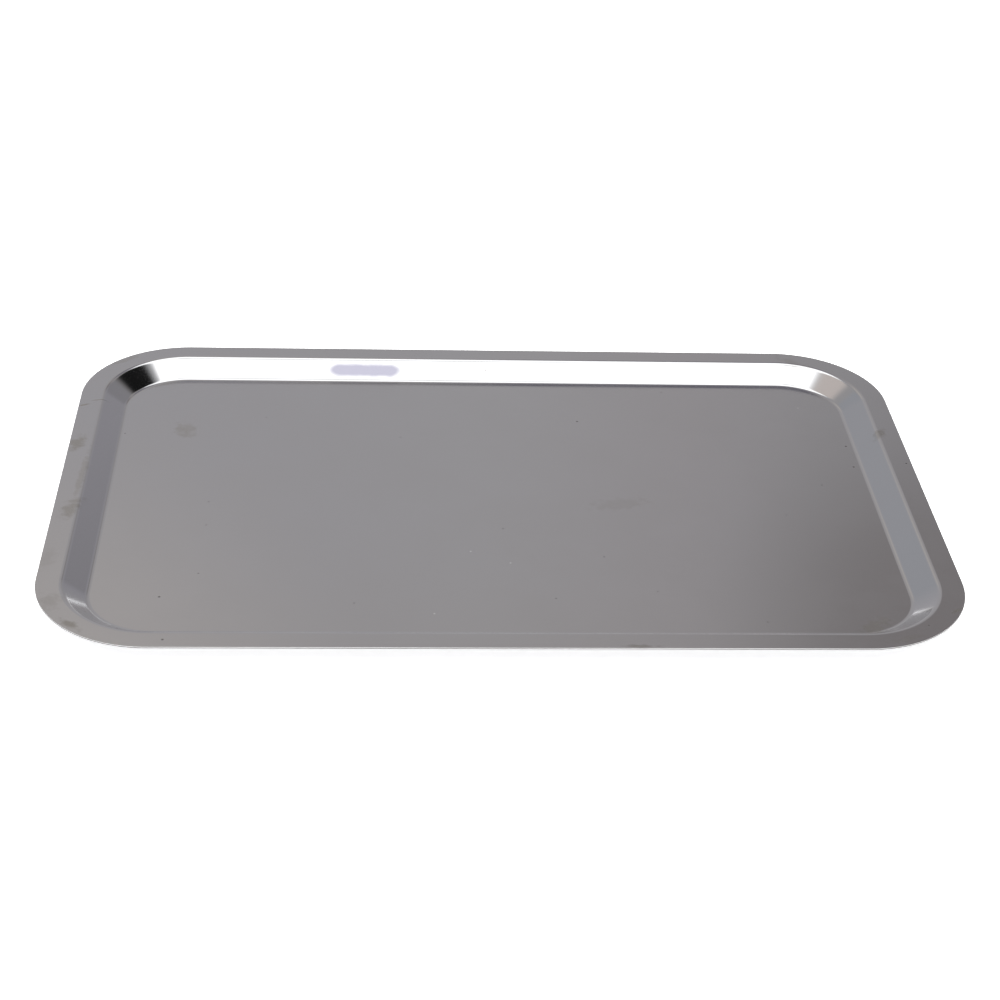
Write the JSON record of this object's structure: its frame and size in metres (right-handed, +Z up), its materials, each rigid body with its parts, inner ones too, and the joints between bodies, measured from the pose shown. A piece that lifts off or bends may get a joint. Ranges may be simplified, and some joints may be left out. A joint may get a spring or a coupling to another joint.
{
  "type": "pill counting tray",
  "caption": "Shallow rectangular counting tray pressed from one steel sheet, with rounded corners, sloping walls and a flat rim.",
  "frame": {"origin": "middle of the underside of the floor, which is what the tray rests on", "axes": "+X along the long side, +Y towards the back, +Z up"},
  "size_m": [0.3, 0.2, 0.0062],
  "materials": {
    "satin_steel": "satin, with fine rubbed marks"
  },
  "bodies": {
    "root": {"pressed_tray": "satin_steel"}
  },
  "joints": []
}
